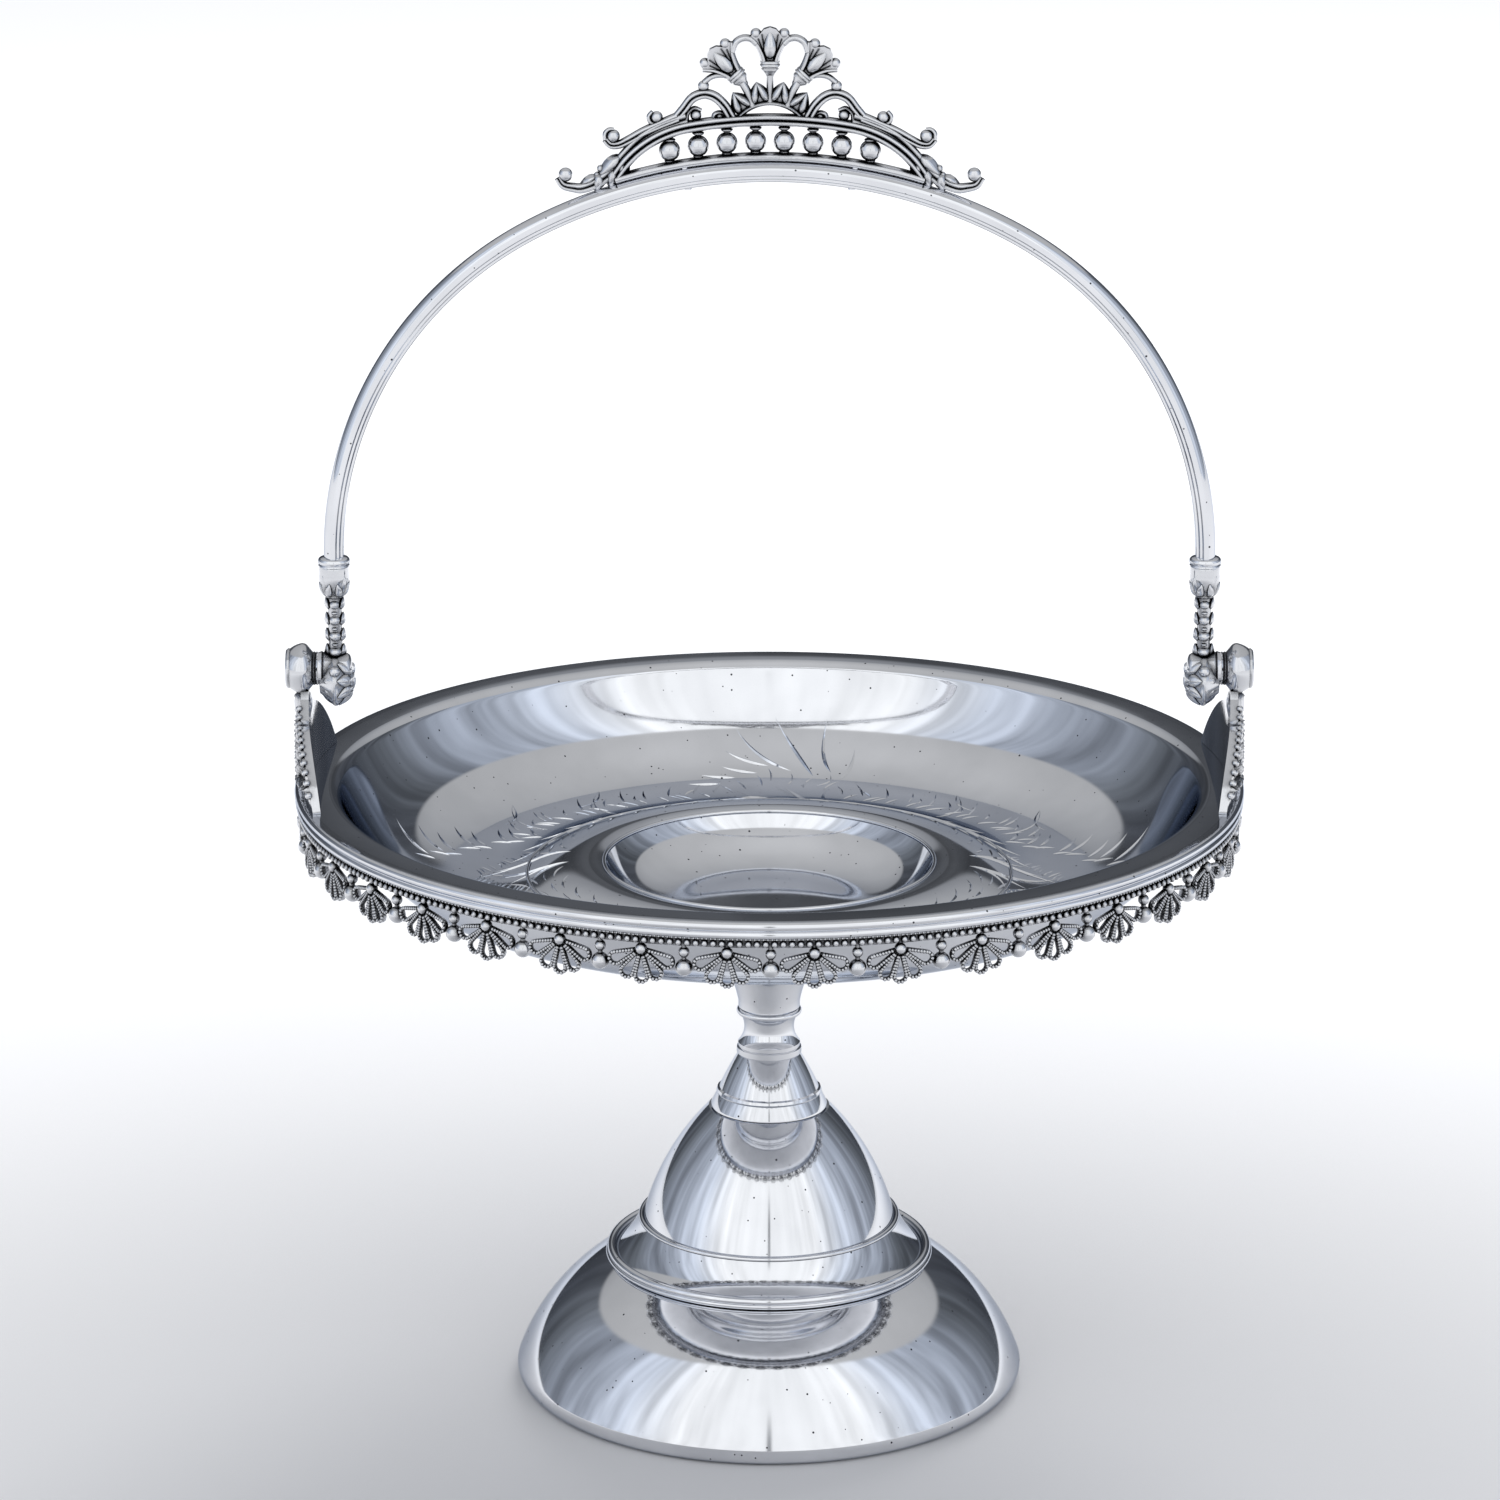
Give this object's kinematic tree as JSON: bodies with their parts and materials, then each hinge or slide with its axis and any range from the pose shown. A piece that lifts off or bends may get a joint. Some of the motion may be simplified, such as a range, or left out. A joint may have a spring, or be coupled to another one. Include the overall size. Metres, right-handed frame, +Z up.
{
  "type": "silver cake basket",
  "caption": "Round silver-plated cake basket: a shallow spun dish on a bell-shaped pedestal foot, with a pierced shell border and an arched swing handle topped by a cast crest.",
  "frame": {"origin": "centre of the foot, on the surface that the basket stands on", "axes": "+Z up along the foot's axis, X along the handle's hinge line, -Y towards the camera of the picture"},
  "size_m": [0.2438, 0.24, 0.3533],
  "materials": {
    "polished_silver": "polished silver plate with fine wear and pits",
    "cast_silver": "cast silver plate, bright on the high points and dark in the recesses",
    "bolt_steel": "plain turned steel, dull"
  },
  "bodies": {
    "stand": {"foot_bell": "polished_silver", "dome": "polished_silver", "stem_cone": "polished_silver", "stem_neck": "polished_silver", "stem_socket": "polished_silver", "tie_bolt": "bolt_steel", "tie_washer": "bolt_steel", "tie_nut": "bolt_steel", "dish": "polished_silver", "rim_moulding": "polished_silver", "border_strip_1": "cast_silver", "border_strip_2": "cast_silver", "border_strip_3": "cast_silver", "border_strip_4": "cast_silver", "border_strip_5": "cast_silver", "border_strip_6": "cast_silver", "ear_right": "cast_silver", "ear_left": "cast_silver", "hinge_pin_right": "polished_silver", "hinge_pin_left": "polished_silver"},
    "handle": {"hinge_drop_right": "cast_silver", "hinge_drop_left": "cast_silver", "collar_right": "polished_silver", "collar_left": "polished_silver", "handle_bow": "polished_silver", "crest": "cast_silver", "crest_pegs": "polished_silver"}
  },
  "joints": [
    {"name": "handle_swing", "type": "hinge", "parent": "stand", "child": "handle", "pos_m": [0, 0, 0.19008], "axis": [1, 0, 0], "range_deg": [-103, 103]}
  ]
}
